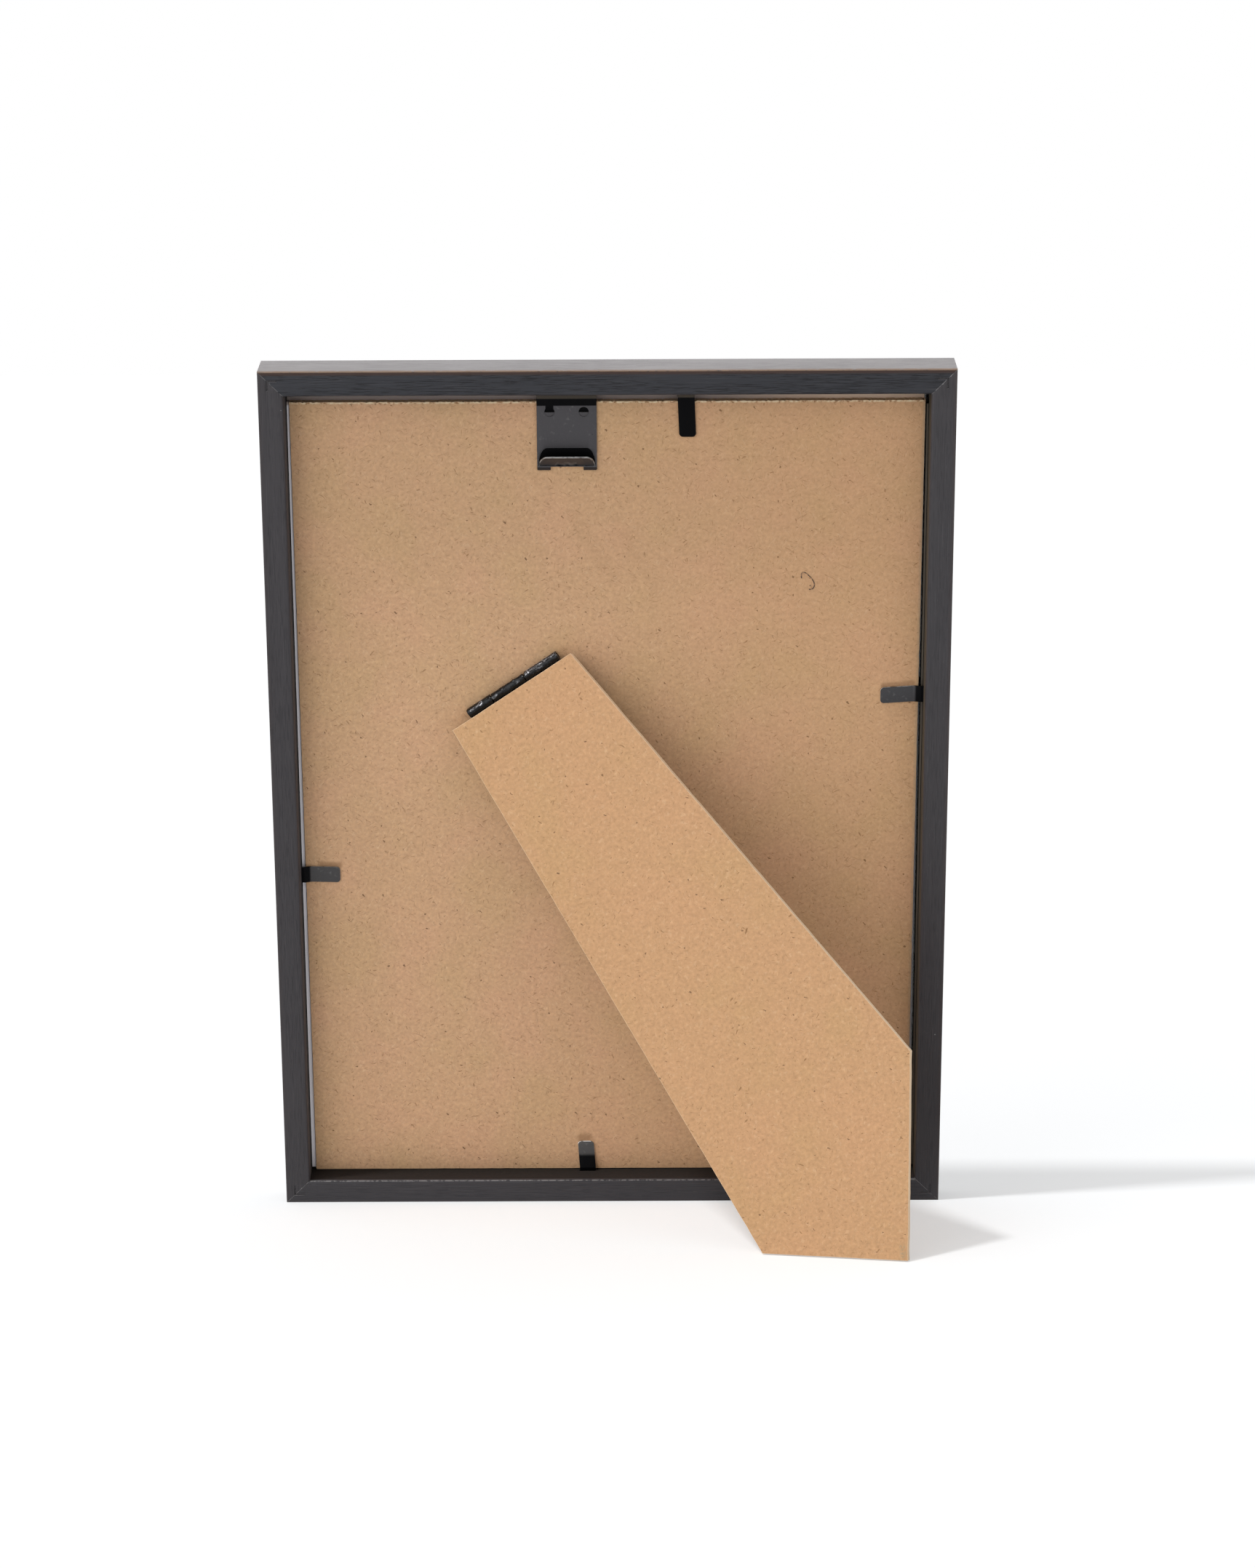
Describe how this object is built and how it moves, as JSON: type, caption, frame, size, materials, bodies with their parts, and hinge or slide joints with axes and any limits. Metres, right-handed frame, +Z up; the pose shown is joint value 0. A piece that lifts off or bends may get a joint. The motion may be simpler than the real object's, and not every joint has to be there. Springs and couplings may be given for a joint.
{
  "type": "easel back photo frame",
  "caption": "Narrow mitred photo frame standing on a slanted fold-out leg, with a recessed fibreboard back held by bendable steel tabs, and a hanging plate on its top rail.",
  "frame": {"origin": "on the table, in the middle of the box around the standing frame and its open leg", "axes": "+Z up, the back of the frame and its leg face -Y, +X to the right as the back is seen"},
  "size_m": [0.164, 0.0782, 0.2112],
  "materials": {
    "rail_foil": "wood fibre moulding wrapped in a charcoal grained foil, satin",
    "nail_steel": "bare steel corner nail, dull",
    "clear_sheet": "clear flat sheet",
    "insert_paper": "blank pale paper, matt",
    "back_fibreboard": "raw tan fibreboard, fine flecks, matt",
    "leg_fibreboard": "raw tan fibreboard, paler cut edges, matt",
    "tab_steel": "blackened steel strip, satin, bare at the edges",
    "hanger_steel": "blackened steel plate, satin",
    "hinge_steel": "black lacquered steel, glossy",
    "pin_steel": "drawn steel wire"
  },
  "bodies": {
    "frame": {"top_rail": "rail_foil", "bottom_rail": "rail_foil", "left_rail": "rail_foil", "right_rail": "rail_foil", "corner_nails": "nail_steel", "glazing": "clear_sheet", "photo_insert": "insert_paper", "backing_board": "back_fibreboard", "bottom_tab_root": "tab_steel", "right_tab_root": "tab_steel", "top_tab_root": "tab_steel", "left_tab_root": "tab_steel", "hanger_root": "hanger_steel", "hinge_board_leaf": "hinge_steel", "hinge_pin": "pin_steel"},
    "leg": {"easel_leg": "leg_fibreboard", "hinge_leg_leaf": "hinge_steel"},
    "bottom_tab": {"bottom_tab_blade": "tab_steel"},
    "right_tab": {"right_tab_blade": "tab_steel"},
    "top_tab": {"top_tab_blade": "tab_steel"},
    "left_tab": {"left_tab_blade": "tab_steel"},
    "hanger": {"hanger_plate": "hanger_steel"}
  },
  "joints": [
    {"name": "leg_hinge", "type": "hinge", "parent": "frame", "child": "leg", "pos_m": [-0.0232, 0.00278, 0.13287], "axis": [-0.8276, 0.1244, -0.5474], "range_deg": [-21.4, 0]},
    {"name": "bottom_tab_bend", "type": "hinge", "parent": "frame", "child": "bottom_tab", "pos_m": [-0.0064, 0.0315, 0.00782], "axis": [1, 0, 0], "range_deg": [0, 90]},
    {"name": "right_tab_bend", "type": "hinge", "parent": "frame", "child": "right_tab", "pos_m": [0.0752, 0.00369, 0.1302], "axis": [0, -0.2215, 0.9751], "range_deg": [0, 90]},
    {"name": "top_tab_bend", "type": "hinge", "parent": "frame", "child": "top_tab", "pos_m": [0.0185, -0.0129, 0.20324], "axis": [-1, 0, 0], "range_deg": [0, 90]},
    {"name": "left_tab_bend", "type": "hinge", "parent": "frame", "child": "left_tab", "pos_m": [-0.0752, 0.01386, 0.08545], "axis": [0, 0.2215, -0.9751], "range_deg": [0, 90]},
    {"name": "hanger_bend", "type": "hinge", "parent": "frame", "child": "hanger", "pos_m": [-0.0097, -0.0129, 0.20324], "axis": [-1, 0, 0], "range_deg": [0, 90]}
  ]
}
